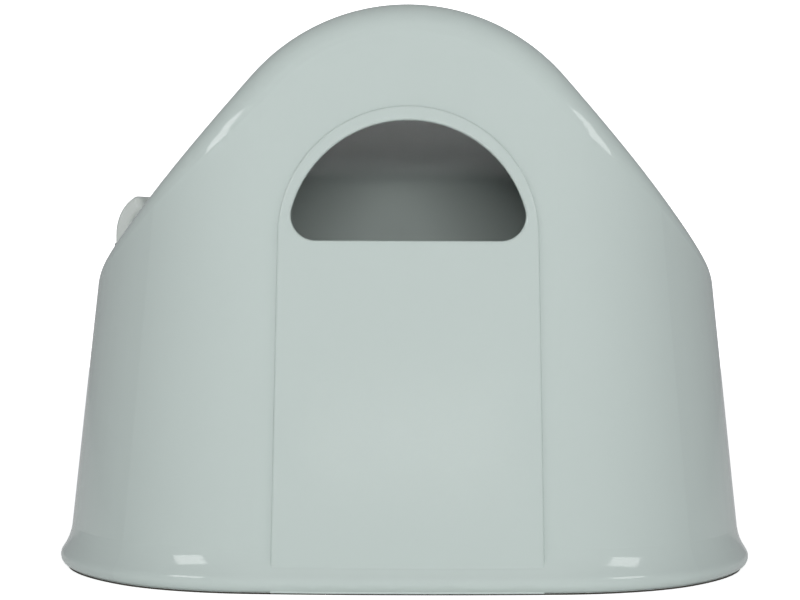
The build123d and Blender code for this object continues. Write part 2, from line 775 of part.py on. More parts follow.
with BuildPart() as litter_scoop:
    with BuildSketch(scoop_plane.offset(scoop_low)):
        with Locations((0, blade_middle)):
            Rectangle(scoop_width, scoop_depth)
    extrude(amount=scoop_blade)
    with BuildSketch(scoop_plane.offset(scoop_high - collar_height)):
        with Locations((0, blade_middle + collar_out / 2)):
            Rectangle(scoop_width + 2 * collar_out, scoop_depth + collar_out)
    extrude(amount=collar_height)
    fillet(litter_scoop.edges().filter_by(Axis.Z), scoop_round)
    with BuildSketch(scoop_plane.offset(scoop_low - overlap)):
        with Locations((0, blade_middle - scoop_wall)):
            Rectangle(scoop_width - 2 * scoop_wall, scoop_depth)
    extrude(amount=scoop_blade + overlap - scoop_wall, mode=Mode.SUBTRACT)
    with BuildSketch(scoop_section.offset(-scoop_width)):
        with BuildLine():
            Polyline(
                (scoop_stand - overlap, scoop_low - overlap),
                (scoop_stand + scoop_depth - 2 * scoop_wall, scoop_low - overlap),
                (scoop_stand - overlap, scoop_low + scoop_depth),
                close=True,
            )
        make_face()
    extrude(amount=2 * scoop_width, mode=Mode.SUBTRACT)
    slot_pitch = (scoop_width - 2 * scoop_wall - scoop_slot_width) / scoop_slots
    face_plane = Plane(
        origin=scoop_origin + scoop_out * (scoop_stand + scoop_depth - scoop_wall - overlap),
        x_dir=-scoop_along,
        z_dir=scoop_out,
    )
    with BuildSketch(face_plane):
        with Locations((0, scoop_low + scoop_slot_rise)):
            with GridLocations(slot_pitch, 0, scoop_slots, 1):
                SlotOverall(scoop_slot_length, scoop_slot_width, rotation=90)
    extrude(amount=scoop_wall + 2 * overlap, mode=Mode.SUBTRACT)
    with BuildLine(scoop_section) as handle_path:
        stem = Line((handle_stand, scoop_high - collar_height / 2), (handle_stand, handle_bend_level))
        hook_arc = JernArc(stem @ 1, (0, 1), handle_bend_radius, handle_bend)
        Line(hook_arc @ 1, (hook_arc @ 1) + (hook_arc % 1) * handle_hook)
    with BuildSketch(scoop_plane.offset(scoop_high - collar_height / 2)):
        with Locations((0, handle_stand)):
            RectangleRounded(handle_wide, handle_thick, handle_thick / 3)
    sweep(path=handle_path.wires()[0])
    tip = litter_scoop.faces().sort_by(Axis.Z)[-1]
    fillet(tip.edges(), handle_thick / 2.6)
litter_scoop.part.label = "litter_scoop"
export_step(litter_scoop.part, "parts/litter_scoop.step")

with BuildPart() as scoop_grip:
    with BuildSketch(scoop_plane.offset(sleeve_low)):
        with Locations((0, handle_stand)):
            RectangleRounded(
                handle_wide + 2 * sleeve_thick,
                handle_thick + 2 * sleeve_thick,
                handle_thick / 3 + sleeve_thick,
            )
            RectangleRounded(handle_wide, handle_thick, handle_thick / 3, mode=Mode.SUBTRACT)
    extrude(amount=sleeve_high - sleeve_low)
scoop_grip.part.label = "scoop_grip"
export_step(scoop_grip.part, "parts/scoop_grip.step")
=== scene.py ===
"""A cat litter box under a full-height hood: finishes, detailed pieces, studio and camera."""
import logging
import math
from dataclasses import dataclass, field
from enum import Enum
from typing import Callable

import bpy
from mathutils import Matrix, Vector


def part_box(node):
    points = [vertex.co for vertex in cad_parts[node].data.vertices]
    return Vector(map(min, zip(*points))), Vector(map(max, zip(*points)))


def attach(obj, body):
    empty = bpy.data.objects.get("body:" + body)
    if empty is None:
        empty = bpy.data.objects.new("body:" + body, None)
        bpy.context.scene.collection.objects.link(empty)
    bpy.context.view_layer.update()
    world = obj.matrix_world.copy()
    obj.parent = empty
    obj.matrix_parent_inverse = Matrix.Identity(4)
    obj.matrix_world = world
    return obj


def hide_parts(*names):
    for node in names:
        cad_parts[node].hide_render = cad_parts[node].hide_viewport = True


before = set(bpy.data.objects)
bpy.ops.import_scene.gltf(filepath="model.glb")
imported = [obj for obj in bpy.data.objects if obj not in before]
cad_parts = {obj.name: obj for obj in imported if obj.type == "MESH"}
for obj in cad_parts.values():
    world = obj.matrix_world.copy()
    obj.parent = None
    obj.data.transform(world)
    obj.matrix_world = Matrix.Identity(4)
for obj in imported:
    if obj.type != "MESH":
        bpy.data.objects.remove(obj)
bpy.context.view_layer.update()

LOG = logging.getLogger("litter_box")
MM = 0.001
LightSpec = tuple[str, tuple[float, float, float], float, float, float]


# ---------------------------------------------------------------- small helpers


def linear(red: int, green: int, blue: int) -> tuple[float, float, float, float]:
    """Turn an 8-bit display colour into a scene-linear one.

    Args:
        red: Red from 0 to 255.
        green: Green from 0 to 255.
        blue: Blue from 0 to 255.

    Returns:
        The linear colour with an alpha of one.
    """
    def one(value: int) -> float:
        share = value / 255
        return share / 12.92 if share <= 0.04045 else ((share + 0.055) / 1.055) ** 2.4

    return (one(red), one(green), one(blue), 1.0)


def deselect_all() -> None:
    """Leave nothing selected or active."""
    for thing in bpy.context.selected_objects:
        thing.select_set(False)
    bpy.context.view_layer.objects.active = None


def make_active(piece: bpy.types.Object) -> None:
    """Select one object alone and make it active."""
    deselect_all()
    piece.select_set(True)
    bpy.context.view_layer.objects.active = piece


def settle(piece: bpy.types.Object) -> bpy.types.Object:
    """Move an object's place into its mesh, so that it sits at the origin.

    Args:
        piece: The object to settle.

    Returns:
        The same object.
    """
    make_active(piece)
    bpy.ops.object.transform_apply(location=True, rotation=True, scale=True)
    return piece


def apply_modifiers(piece: bpy.types.Object) -> None:
    """Apply every modifier of an object, in order."""
    make_active(piece)
    for modifier in list(piece.modifiers):
        bpy.ops.object.modifier_apply(modifier=modifier.name)


def edit(piece: bpy.types.Object, work: Callable[[], None]) -> None:
    """Run mesh operators on an object in edit mode.

    Args:
        piece: The object to edit.
        work: What to do while in edit mode.
    """
    make_active(piece)
    bpy.ops.object.mode_set(mode="EDIT")
    work()
    bpy.ops.object.mode_set(mode="OBJECT")


def pick_faces(piece: bpy.types.Object, wanted: Callable[[bpy.types.MeshPolygon], bool]) -> int:
    """Select the faces that a test accepts, and nothing else.

    Args:
        piece: The mesh object, in object mode.
        wanted: The test for each face.

    Returns:
        How many faces are selected.
    """
    mesh = piece.data
    for group in (mesh.vertices, mesh.edges):
        for item in group:
            item.select = False
    count = 0
    for face in mesh.polygons:
        face.select = wanted(face)
        count += face.select
    return count


def smooth(piece: bpy.types.Object, degrees: float = 35.0) -> None:
    """Shade an object smooth, with hard edges above an angle."""
    make_active(piece)
    bpy.ops.object.shade_smooth_by_angle(angle=math.radians(degrees))


def round_edges(piece: bpy.types.Object, width: float, segments: int = 3, degrees: float = 30.0) -> None:
    """Bevel an object's edges and apply the bevel."""
    bevel = piece.modifiers.new("rounded", "BEVEL")
    bevel.width = width
    bevel.segments = segments
    bevel.limit_method = "ANGLE"
    bevel.angle_limit = math.radians(degrees)
    bevel.harden_normals = False
    apply_modifiers(piece)


# ---------------------------------------------------------------- shader groups


def new_group(
    name: str, inputs: dict[str, tuple[str, float]], outputs: dict[str, str]
) -> bpy.types.NodeTree:
    """Start a shader node group with named sockets.

    Args:
        name: The group's name.
        inputs: Socket name to its type and default value.
        outputs: Socket name to its type.

    Returns:
        The group, with its input and output nodes made.
    """
    group = bpy.data.node_groups.new(name, "ShaderNodeTree")
    for label, (kind, value) in inputs.items():
        socket = group.interface.new_socket(name=label, in_out="INPUT", socket_type=kind)
        if kind == "NodeSocketFloat":
            socket.default_value = value
    for label, kind in outputs.items():
        group.interface.new_socket(name=label, in_out="OUTPUT", socket_type=kind)
    group.nodes.new("NodeGroupInput").name = "in"
    group.nodes.new("NodeGroupOutput").name = "out"
    return group


def add_node(tree: bpy.types.NodeTree, kind: str, **settings: object) -> bpy.types.Node:
    """Add a node and set its properties."""
    node = tree.nodes.new(kind)
    for key, value in settings.items():
        setattr(node, key, value)
    return node


def math_node(
    tree: bpy.types.NodeTree, operation: str, first: object, second: object = None
) -> bpy.types.NodeSocket:
    """Add a math node fed by sockets or numbers.

    Args:
        tree: The node tree.
        operation: Blender's name of the operation.
        first: A socket or a number.
        second: A socket or a number, where the operation takes two.

    Returns:
        The result socket.
    """
    node = add_node(tree, "ShaderNodeMath", operation=operation)
    for slot_index, value in enumerate((first, second)):
        if value is None:
            continue
        if isinstance(value, bpy.types.NodeSocket):
            tree.links.new(value, node.inputs[slot_index])
        else:
            node.inputs[slot_index].default_value = value
    return node.outputs[0]


def noise(
    tree: bpy.types.NodeTree, vector: bpy.types.NodeSocket, scale: object, detail: float = 3.0
) -> bpy.types.NodeSocket:
    """Add a noise texture and return its value socket."""
    node = add_node(tree, "ShaderNodeTexNoise")
    node.inputs["Detail"].default_value = detail
    tree.links.new(vector, node.inputs["Vector"])
    if isinstance(scale, bpy.types.NodeSocket):
        tree.links.new(scale, node.inputs["Scale"])
    else:
        node.inputs["Scale"].default_value = scale
    return node.outputs["Fac"]


def moulding_group() -> bpy.types.NodeTree:
    """The slow ripple and fine orange peel of a moulded surface, and its blotches."""
    group = new_group(
        "moulded surface",
        {
            "Vector": ("NodeSocketVector", 0),
            "Ripple": ("NodeSocketFloat", 1.0),
            "Peel": ("NodeSocketFloat", 1.0),
        },
        {"Height": "NodeSocketFloat", "Blotch": "NodeSocketFloat"},
    )
    source, sink = group.nodes["in"], group.nodes["out"]
    vector = source.outputs["Vector"]
    ripple = math_node(group, "MULTIPLY", noise(group, vector, 9.0, 1.0), source.outputs["Ripple"])
    peel = math_node(group, "MULTIPLY", noise(group, vector, 420.0, 2.0), source.outputs["Peel"])
    group.links.new(math_node(group, "ADD", ripple, peel), sink.inputs["Height"])
    group.links.new(noise(group, vector, 5.0, 4.0), sink.inputs["Blotch"])
    return group


def dust_group() -> bpy.types.NodeTree:
    """Where fine dust lies: on faces that look up, in soft patches."""
    group = new_group(
        "settled dust",
        {"Vector": ("NodeSocketVector", 0), "Amount": ("NodeSocketFloat", 0.3)},
        {"Mask": "NodeSocketFloat"},
    )
    source, sink = group.nodes["in"], group.nodes["out"]
    geometry = add_node(group, "ShaderNodeNewGeometry")
    split = add_node(group, "ShaderNodeSeparateXYZ")
    group.links.new(geometry.outputs["Normal"], split.inputs[0])
    facing = math_node(group, "POWER", math_node(group, "MAXIMUM", split.outputs["Z"], 0.0), 2.0)
    patches = math_node(group, "MULTIPLY", noise(group, source.outputs["Vector"], 16.0, 6.0), facing)
    group.links.new(math_node(group, "MULTIPLY", patches, source.outputs["Amount"]), sink.inputs["Mask"])
    return group


def scuff_group() -> bpy.types.NodeTree:
    """Fine scratches that run mostly one way, as a mask."""
    group = new_group(
        "fine scuffs",
        {
            "Vector": ("NodeSocketVector", 0),
            "Scale": ("NodeSocketFloat", 60.0),
            "Amount": ("NodeSocketFloat", 0.3),
        },
        {"Mask": "NodeSocketFloat"},
    )
    source, sink = group.nodes["in"], group.nodes["out"]
    stretch = add_node(group, "ShaderNodeMapping")
    stretch.inputs["Rotation"].default_value = (0.4, 0.9, 0.3)
    stretch.inputs["Scale"].default_value = (1.0, 14.0, 1.6)
    group.links.new(source.outputs["Vector"], stretch.inputs["Vector"])
    lines = noise(group, stretch.outputs["Vector"], source.outputs["Scale"], 3.0)
    sharp = add_node(group, "ShaderNodeMapRange")
    sharp.inputs["From Min"].default_value = 0.58
    sharp.inputs["From Max"].default_value = 0.72
    group.links.new(lines, sharp.inputs["Value"])
    group.links.new(
        math_node(group, "MULTIPLY", sharp.outputs["Result"], source.outputs["Amount"]), sink.inputs["Mask"]
    )
    return group


def cells_group() -> bpy.types.NodeTree:
    """Small round cells or fibres, for foam, felt and grained rubber."""
    group = new_group(
        "cells",
        {"Vector": ("NodeSocketVector", 0), "Scale": ("NodeSocketFloat", 900.0)},
        {"Height": "NodeSocketFloat"},
    )
    source, sink = group.nodes["in"], group.nodes["out"]
    cells = add_node(group, "ShaderNodeTexVoronoi")
    group.links.new(source.outputs["Vector"], cells.inputs["Vector"])
    group.links.new(source.outputs["Scale"], cells.inputs["Scale"])
    fibre = noise(group, source.outputs["Vector"], 1400.0, 2.0)
    group.links.new(math_node(group, "ADD", cells.outputs["Distance"], fibre), sink.inputs["Height"])
    return group


class Effects:
    """The shader groups that the finishes share, each built once."""

    def __init__(self) -> None:
        """Build every group."""
        self.moulding = moulding_group()
        self.dust = dust_group()
        self.scuffs = scuff_group()
        self.cells = cells_group()


# ---------------------------------------------------------------- finishes


class Surface(Enum):
    """The kinds of surface that a finish can have."""

    MOULDED = "moulded"
    GRAINED = "grained"
    METAL = "metal"


@dataclass(frozen=True)
class Finish:
    """How one material looks.

    Attributes:
        name: The material's name.
        slot: The record's material slot. Not used.
        colour: Display colour, 0 to 255.
        surface: The kind of surface.
        roughness: Roughness of the clean surface.
        spread: How much the roughness varies.
        shade: How much the colour varies over the surface.
        ripple: Depth of the slow ripple, in millimetres.
        peel: Depth of the fine texture, in millimetres.
        cell_scale: Cells per metre of a grained surface.
        dust: How much dust lies on upward faces.
        scuffs: How strong the fine scratches are.
        coat: Weight of a clear gloss over the colour.
    """

    name: str
    slot: str
    colour: tuple[int, int, int]
    surface: Surface = Surface.MOULDED
    roughness: float = 0.3
    spread: float = 0.05
    shade: float = 0.03
    ripple: float = 0.15
    peel: float = 0.004
    cell_scale: float = 900.0
    dust: float = 0.15
    scuffs: float = 0.2
    coat: float = 0.0

    def material(self, effects: Effects) -> bpy.types.Material:
        """Build the material.

        Args:
            effects: The shared shader groups.

        Returns:
            A node material with this finish.
        """
        made = bpy.data.materials.new(self.name)
        made.use_nodes = True
        tree = made.node_tree
        shader = tree.nodes["Principled BSDF"]
        shader.inputs["Coat Weight"].default_value = self.coat
        shader.inputs["Coat Roughness"].default_value = 0.06
        shader.inputs["Metallic"].default_value = 1.0 if self.surface is Surface.METAL else 0.0
        place = add_node(tree, "ShaderNodeTexCoord").outputs["Object"]
        moulding = self._group(tree, effects.moulding, place, Ripple=self.ripple, Peel=self.peel)
        dust = self._group(tree, effects.dust, place, Amount=self.dust).outputs["Mask"]
        scuffs = self._group(tree, effects.scuffs, place, Amount=self.scuffs).outputs["Mask"]
        self._colour(tree, shader, moulding.outputs["Blotch"], dust)
        self._roughness(tree, shader, moulding.outputs["Blotch"], dust, scuffs)
        height = moulding.outputs["Height"]
        if self.surface is Surface.GRAINED:
            cells = self._group(tree, effects.cells, place, Scale=self.cell_scale).outputs["Height"]
            height = math_node(tree, "ADD", height, math_node(tree, "MULTIPLY", cells, 0.12))
        if self.surface is Surface.METAL:
            height = math_node(tree, "ADD", height, math_node(tree, "MULTIPLY", scuffs, 0.02))
        bump = add_node(tree, "ShaderNodeBump")
        bump.inputs["Distance"].default_value = MM
        tree.links.new(height, bump.inputs["Height"])
        tree.links.new(bump.outputs["Normal"], shader.inputs["Normal"])
        return made

    def _group(self, tree: bpy.types.NodeTree, group: bpy.types.NodeTree,
               place: bpy.types.NodeSocket, **values: float) -> bpy.types.Node:
        """Place a shared group in the material with its own values."""
        node = add_node(tree, "ShaderNodeGroup", node_tree=group)
        tree.links.new(place, node.inputs["Vector"])
        for label, value in values.items():
            node.inputs[label].default_value = value
        return node

    def _colour(self, tree: bpy.types.NodeTree, shader: bpy.types.Node,
                blotch: bpy.types.NodeSocket, dust: bpy.types.NodeSocket) -> None:
        """Feed the base colour: the finish's own, faintly varied, under dust."""
        base = linear(*self.colour)
        ramp = add_node(tree, "ShaderNodeMix", data_type="RGBA")
        ramp.inputs["A"].default_value = tuple(c * (1 - self.shade) for c in base[:3]) + (1,)
        ramp.inputs["B"].default_value = tuple(min(1.0, c * (1 + self.shade)) for c in base[:3]) + (1,)
        tree.links.new(blotch, ramp.inputs["Factor"])
        dusty = add_node(tree, "ShaderNodeMix", data_type="RGBA")
        dusty.inputs["B"].default_value = linear(188, 184, 176)
        tree.links.new(dust, dusty.inputs["Factor"])
        tree.links.new(ramp.outputs["Result"], dusty.inputs["A"])
        tree.links.new(dusty.outputs["Result"], shader.inputs["Base Color"])

    def _roughness(self, tree: bpy.types.NodeTree, shader: bpy.types.Node, blotch: bpy.types.NodeSocket,
                   dust: bpy.types.NodeSocket, scuffs: bpy.types.NodeSocket) -> None:
        """Feed the roughness: it varies in blotches, and dust and scuffs dull it."""
        varied = math_node(tree, "MULTIPLY", math_node(tree, "SUBTRACT", blotch, 0.5), self.spread)
        dulled = math_node(tree, "ADD", varied, math_node(tree, "MULTIPLY", dust, 0.5))
        scratched = math_node(tree, "ADD", dulled, math_node(tree, "MULTIPLY", scuffs, 0.25))
        tree.links.new(math_node(tree, "ADD", scratched, self.roughness), shader.inputs["Roughness"])


SHELL = Finish("gloss_shell", "shell", (197, 208, 204), roughness=0.085, spread=0.03, shade=0.012,
               ripple=0.06, peel=0.0012, dust=0.05, scuffs=0.06, coat=0.15)
RIM = Finish("gloss_rim", "rim", (194, 205, 201), roughness=0.2, dust=0.08, scuffs=0.3)
PAN = Finish("satin_pan", "pan", (136, 143, 142), roughness=0.38, shade=0.05,
             peel=0.012, dust=0.25, scuffs=0.6)
TRIM = Finish("satin_trim", "trim", (183, 195, 191), roughness=0.34, peel=0.008, dust=0.12, scuffs=0.3)
# The scoop's colour is partly its own light tone and partly painted light: it is made lighter than the
# shell to offset the shade that the hood casts on it.
SCOOP_PAINTED_LIGHT = Finish("gloss_scoop_painted_light", "scoop", (218, 223, 219), roughness=0.2, shade=0.02, dust=0.1, scuffs=0.5)
STRIP = Finish("foot_strip", "strip", (58, 52, 46), Surface.GRAINED, roughness=0.7,
               shade=0.2, dust=0.3, scuffs=0.2)
RUBBER = Finish("rubber_feet", "rubber", (60, 60, 60), Surface.GRAINED, roughness=0.72,
                shade=0.15, dust=0.3)
GRIP = Finish("grip_rubber", "grip", (120, 130, 129), Surface.GRAINED, roughness=0.6,
              shade=0.08, cell_scale=1600)
FOAM = Finish("seal_foam", "foam", (86, 88, 88), Surface.GRAINED, roughness=0.9,
              shade=0.2, cell_scale=1300)
FELT = Finish("charcoal_felt", "carbon", (42, 42, 43), Surface.GRAINED, roughness=0.95, shade=0.35,
              cell_scale=700, dust=0.2, scuffs=0.0)
STEEL = Finish("steel", "steel", (198, 198, 196), Surface.METAL, roughness=0.3,
               shade=0.06, dust=0.05, scuffs=0.6)


class Wardrobe:
    """Every finish made into a material once, ready to put on a piece."""

    def __init__(self) -> None:
        """Start with the shared effects and no materials."""
        self.effects = Effects()
        self.made: dict[str, bpy.types.Material] = {}

    def dress(self, piece: bpy.types.Object, finish: Finish) -> None:
        """Put a finish on a piece, in all its slots.

        Args:
            piece: The object to dress.
            finish: The finish to use.
        """
        if finish.name not in self.made:
            self.made[finish.name] = finish.material(self.effects)
        piece.data.materials.clear()
        piece.data.materials.append(self.made[finish.name])

    def dress_node(self, node: str, finish: Finish) -> None:
        """Put a finish on a carried-over CAD node."""
        self.dress(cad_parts[node], finish)
        LOG.info("dressed %s in %s", node, finish.name)


NODE_FINISHES: dict[str, Finish] = {
    "hood_shell": SHELL, "base_strip": STRIP, "hood_spacers": TRIM, "handle_dish": TRIM,
    "handle_pins": STEEL, "vent_frame": TRIM, "frame_screws": STEEL, "carbon_filter": FELT,
    "cover_pin": STEEL, "scoop_bracket": TRIM, "bracket_screws": STEEL, "bracket_nuts": STEEL,
    "carry_handle": SHELL, "handle_grip": GRIP, "filter_cover": TRIM, "cover_knob": SHELL,
    "litter_scoop": SCOOP_PAINTED_LIGHT, "scoop_grip": GRIP, "litter_pan": PAN, "pan_feet": RUBBER,
    "scatter_rim": RIM, "rim_seal": FOAM,
}


# ---------------------------------------------------------------- modelling steps


def add_to_new_object(name: str, operator: Callable[..., object], **settings: object) -> bpy.types.Object:
    """Add one primitive with nothing else selected, and name it.

    Args:
        name: The new object's name.
        operator: The bpy.ops call that adds the primitive.
        **settings: The operator's own settings.

    Returns:
        The new object.
    """
    deselect_all()
    operator(**settings)
    piece = bpy.context.object
    piece.name = name
    piece.data.name = name
    return piece


def join_all(name: str, pieces: list[bpy.types.Object]) -> bpy.types.Object:
    """Join several objects into one.

    Args:
        name: The joined object's name.
        pieces: The objects to join; the first one is kept.

    Returns:
        The joined object.
    """
    make_active(pieces[0])
    for piece in pieces[1:]:
        piece.select_set(True)
    bpy.ops.object.join()
    pieces[0].name = name
    return pieces[0]


def copy_of(piece: bpy.types.Object, name: str) -> bpy.types.Object:
    """Copy an object with a mesh of its own."""
    twin = piece.copy()
    twin.data = piece.data.copy()
    twin.name = name
    bpy.context.scene.collection.objects.link(twin)
    return twin


def place(piece: bpy.types.Object, spot: Vector, x_axis: Vector, z_axis: Vector) -> bpy.types.Object:
    """Stand an object that was modelled at the origin on a spot, and settle it there.

    Args:
        piece: The object, modelled with its foot at the origin and its axis along Z.
        spot: Where its origin goes.
        x_axis: Where its X axis points.
        z_axis: Where its Z axis points.

    Returns:
        The same object, with its place in its mesh.
    """
    up = z_axis.normalized()
    along = (x_axis - up * x_axis.dot(up)).normalized()
    turn = Matrix((along, up.cross(along), up)).transposed()
    piece.matrix_world = Matrix.Translation(spot) @ turn.to_4x4()
    return settle(piece)


def outward(piece: bpy.types.Object) -> None:
    """Merge doubles and turn every face of a closed mesh outwards."""
    def work() -> None:
        bpy.ops.mesh.select_all(action="SELECT")
        bpy.ops.mesh.remove_doubles(threshold=0.00002)
        bpy.ops.mesh.normals_make_consistent(inside=False)

    edit(piece, work)


def hand_over(piece: bpy.types.Object, body: str, finish: Finish, wardrobe: Wardrobe, *nodes: str) -> None:
    """Dress a finished piece, put it on its body and let it stand for its CAD nodes.

    Args:
        piece: The finished piece.
        body: The body that it rides on.
        finish: Its finish.
        wardrobe: Where the materials come from.
        *nodes: The CAD nodes that it stands for.
    """
    wardrobe.dress(piece, finish)
    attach(piece, body)
    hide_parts(*nodes)
    LOG.info("%s stands for %s on %s", piece.name, ", ".join(nodes), body)


@dataclass
class RibbedSleeve:
    """A soft sleeve of rounded-square section with ribs across it.

    Attributes:
        name: The piece's name.
        wide: Width across X, in metres.
        thick: Thickness across Y, in metres.
        corner: Corner radius.
        length: Length along its axis.
        ribs: How many ribs it has.
        groove: Depth of the groove between two ribs.
        collar: Plain length at each end.
    """

    name: str
    wide: float
    thick: float
    corner: float
    length: float
    ribs: int
    groove: float = 0.9 * MM
    collar: float = 5 * MM

    def _ring(self) -> bpy.types.Object:
        """Make the rounded-square ring that the sleeve is drawn from."""
        ring = add_to_new_object(self.name, bpy.ops.mesh.primitive_plane_add, size=1, location=(0, 0, 0))
        ring.scale = (self.wide, self.thick, 1)
        settle(ring)

        def work() -> None:
            bpy.ops.mesh.select_all(action="SELECT")
            bpy.ops.mesh.bevel(offset=self.corner, segments=7, affect="VERTICES")
            bpy.ops.mesh.select_all(action="SELECT")
            bpy.ops.mesh.delete(type="ONLY_FACE")
            bpy.ops.mesh.select_all(action="SELECT")

        edit(ring, work)
        return ring

    def _stations(self) -> list[tuple[float, float]]:
        """The heights along the sleeve, and how much the section draws in there."""
        round_end = 1.2 * MM
        stations = [(0.0, round_end), (round_end * 0.4, round_end * 0.4)]
        stations += [(round_end, 0.0), (self.collar, 0.0)]
        pitch = (self.length - 2 * self.collar) / self.ribs
        for rib in range(self.ribs):
            low = self.collar + rib * pitch
            stations += [(low + pitch * 0.12, self.groove), (low + pitch * 0.34, self.groove)]
            stations += [(low + pitch * 0.48, self.groove * 0.15), (low + pitch * 0.72, 0.0)]
            stations += [(low + pitch * 0.98, self.groove * 0.15)]
        end = self.length
        stations += [(end - self.collar + 0.4 * MM, 0.0), (end - round_end, 0.0)]
        return stations + [(end - round_end * 0.4, round_end * 0.4), (end, round_end)]

    def build(self) -> bpy.types.Object:
        """Draw the ring out along Z from the origin, station by station.

        Returns:
            The closed sleeve, standing on the origin.
        """
        sleeve = self._ring()
        stations = self._stations()

        def work() -> None:
            level, inset = 0.0, 0.0
            for step, (next_level, next_inset) in enumerate(stations):
                if step:
                    bpy.ops.mesh.extrude_region_move(
                        TRANSFORM_OT_translate={"value": (0, 0, next_level - level)})
                factors = [(side - 2 * next_inset) / (side - 2 * inset) for side in (self.wide, self.thick)]
                bpy.ops.transform.resize(value=(*factors, 1), center_override=(0, 0, next_level))
                level, inset = next_level, next_inset
            bpy.ops.mesh.select_all(action="DESELECT")
            bpy.ops.mesh.select_mode(type="EDGE")
            bpy.ops.mesh.select_non_manifold()
            bpy.ops.mesh.edge_face_add()

        edit(sleeve, work)
        outward(sleeve)
        smooth(sleeve, 40)
        return sleeve


@dataclass
class Screw:
    """A domed screw with a cross recess, modelled head up on the origin.

    Attributes:
        head_radius: Radius of the head.
        head_height: Height of the head.
        shank_radius: Radius of the shank.
        shank_length: Length of the shank under the head.
        recess: Length of the cross from end to end.
    """

    head_radius: float = 4 * MM
    head_height: float = 1.6 * MM
    shank_radius: float = 1.95 * MM
    shank_length: float = 8 * MM
    recess: float = 4.2 * MM

    def _cross(self) -> list[bpy.types.Object]:
        """Make the two crossed bars that are cut from the head."""
        bars = []
        for turn in (0.0, 90.0):
            bar = add_to_new_object("cross", bpy.ops.mesh.primitive_cube_add, size=1,
                                    location=(0, 0, self.head_height))
            bar.scale = (self.recess, 0.9 * MM, self.head_height * 1.1)
            bar.rotation_euler = (0, 0, math.radians(turn))
            bars.append(settle(bar))
        return bars

    def build(self, name: str) -> bpy.types.Object:
        """Model one screw.

        Args:
            name: The screw's name.

        Returns:
            The screw, its head on the XY plane and its shank below.
        """
        head = add_to_new_object(name, bpy.ops.mesh.primitive_cylinder_add, vertices=40,
                                 radius=self.head_radius, depth=self.head_height,
                                 location=(0, 0, self.head_height / 2))
        settle(head)
        pick_faces(head, lambda face: face.normal.z > 0.9)
        edit(head, lambda: bpy.ops.mesh.bevel(offset=self.head_height * 0.75, segments=5, profile=0.6))
        pick_faces(head, lambda face: face.normal.z < -0.9)

        def shank() -> None:
            bpy.ops.mesh.inset(thickness=self.head_radius - self.shank_radius)
            bpy.ops.mesh.extrude_region_move(TRANSFORM_OT_translate={"value": (0, 0, -self.shank_length)})

        edit(head, shank)
        for bar in self._cross():
            cut = head.modifiers.new("recess", "BOOLEAN")
            cut.operation = "DIFFERENCE"
            cut.object = bar
            apply_modifiers(head)
            bpy.data.objects.remove(bar)
        smooth(head, 35)
        return head


@dataclass
class SoftEdges:
    """A carried-over moulding whose sharp edges are rounded a little, as a mould leaves them.

    Attributes:
        node: The CAD node to round.
        body: The body it rides on.
        finish: Its finish.
        width: Width of the rounding.
        sharper_than: Edges above this angle are rounded, in degrees.
    """

    node: str
    body: str
    finish: Finish
    width: float = 0.35 * MM
    sharper_than: float = 40.0

    def build(self, wardrobe: Wardrobe) -> bpy.types.Object:
        """Copy the node's mesh, merge it, round it and let it stand for the node.

        Args:
            wardrobe: Where the materials come from.

        Returns:
            The rounded piece.
        """
        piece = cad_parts[self.node].copy()
        piece.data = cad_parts[self.node].data.copy()
        piece.parent = None
        piece.name = self.node + "_moulded"
        for key in [key for key in piece.keys() if key.startswith("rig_")]:
            del piece[key]
        bpy.context.scene.collection.objects.link(piece)
        make_active(piece)
        if piece.data.has_custom_normals:
            bpy.ops.mesh.customdata_custom_splitnormals_clear()

        def work() -> None:
            bpy.ops.mesh.select_all(action="SELECT")
            bpy.ops.mesh.remove_doubles(threshold=0.00001)
            bpy.ops.mesh.select_all(action="SELECT")
            bpy.ops.mesh.dissolve_limited(angle_limit=math.radians(0.6))

        edit(piece, work)
        round_edges(piece, self.width, 2, self.sharper_than)
        smooth(piece, 30)
        hand_over(piece, self.body, self.finish, wardrobe, self.node)
        return piece


# ---------------------------------------------------------------- sub-assemblies


@dataclass
class CarryHandle:
    """The ribbed soft grip of the bail in the crown's dish.

    Attributes:
        corner: Grip corner radius.
        ribs: Ribs on the grip.
    """

    corner: float = 5 * MM
    ribs: int = 13

    def build(self, wardrobe: Wardrobe) -> None:
        """Model the grip sleeve.

        Args:
            wardrobe: Where the materials come from.
        """
        low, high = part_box("handle_grip")
        size = high - low
        grip = RibbedSleeve("handle_grip_ribbed", size.z, size.y, self.corner, size.x, self.ribs).build()
        middle = (low + high) / 2
        place(grip, Vector((low.x, middle.y, middle.z)), Vector((0, 0, -1)), Vector((1, 0, 0)))
        hand_over(grip, "handle", GRIP, wardrobe, "handle_grip")


@dataclass
class Scoop:
    """The ribbed grip sleeve of the scoop on the left wall.

    Attributes:
        turn: The way it faces, in degrees from straight back towards the left.
        wide: Grip width along the wall.
        thick: Grip thickness out from the wall.
        corner: Grip corner radius.
        ribs: Ribs on the grip.
    """

    turn: float = 58.5
    wide: float = 33 * MM
    thick: float = 21 * MM
    corner: float = 7.4 * MM
    ribs: int = 12

    def _out(self, turn: float) -> Vector:
        """The level direction out of the wall at a turn."""
        return Vector((-math.sin(math.radians(turn)), math.cos(math.radians(turn)), 0))

    def build(self, wardrobe: Wardrobe) -> None:
        """Model the grip sleeve.

        Args:
            wardrobe: Where the materials come from.
        """
        low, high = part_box("scoop_grip")
        middle = (low + high) / 2
        length = high.z - low.z
        sleeve = RibbedSleeve("scoop_grip_ribbed", self.wide, self.thick, self.corner, length, self.ribs)
        out = self._out(self.turn)
        grip = place(sleeve.build(), Vector((middle.x, middle.y, low.z)), out.cross(Vector((0, 0, 1))),
                     Vector((0, 0, 1)))
        hand_over(grip, "scoop", GRIP, wardrobe, "scoop_grip")


